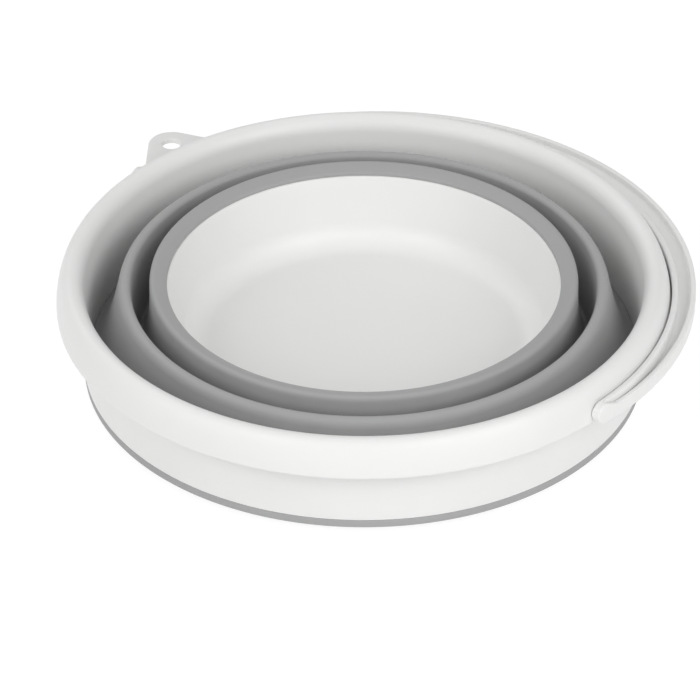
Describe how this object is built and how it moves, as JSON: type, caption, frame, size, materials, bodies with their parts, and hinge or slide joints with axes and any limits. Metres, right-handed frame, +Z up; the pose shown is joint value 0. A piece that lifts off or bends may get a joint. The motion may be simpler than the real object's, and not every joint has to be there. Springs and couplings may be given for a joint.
{
  "type": "collapsible bucket",
  "caption": "Round collapsible bucket folded flat: white rolled-lip frame with hanging tab, grey soft folding wall, white bowl base and a bail handle that swings up.",
  "frame": {"origin": "middle of the part's bounding box on the floor; the bucket's own axis stands at x -6.5 mm, y -6.8 mm from it, because the folded handle widens the box on two sides", "axes": "+Z up along the bucket's axis; the folded handle lies round the side midway between +X and +Y, and the hanging tab points back and left"},
  "size_m": [0.3128, 0.3135, 0.06],
  "materials": {
    "white_polypropylene": "satin moulded polypropylene",
    "grey_soft_rubber": "matt moulded thermoplastic rubber"
  },
  "bodies": {
    "base": {"base_bowl": "white_polypropylene", "base_collar": "grey_soft_rubber", "lower_fold": "grey_soft_rubber"},
    "middle": {"middle_ring": "grey_soft_rubber"},
    "frame": {"rim_frame": "white_polypropylene", "edge_band": "grey_soft_rubber", "upper_fold": "grey_soft_rubber"},
    "bail": {"handle": "white_polypropylene"}
  },
  "joints": [
    {"name": "lower_fold_slide", "type": "slide", "parent": "base", "child": "middle", "axis": [0, 0, 1], "range_m": [0, 0.067], "deforming": ["lower_fold"]},
    {"name": "upper_fold_slide", "type": "slide", "parent": "middle", "child": "frame", "axis": [0, 0, 1], "range_m": [0, 0.058], "deforming": ["upper_fold"]},
    {"name": "handle_swing", "type": "hinge", "parent": "frame", "child": "bail", "pos_m": [-0.0065, -0.0068, 0.0466], "axis": [0.7396, -0.673, 0], "range_deg": [0, 180]}
  ]
}
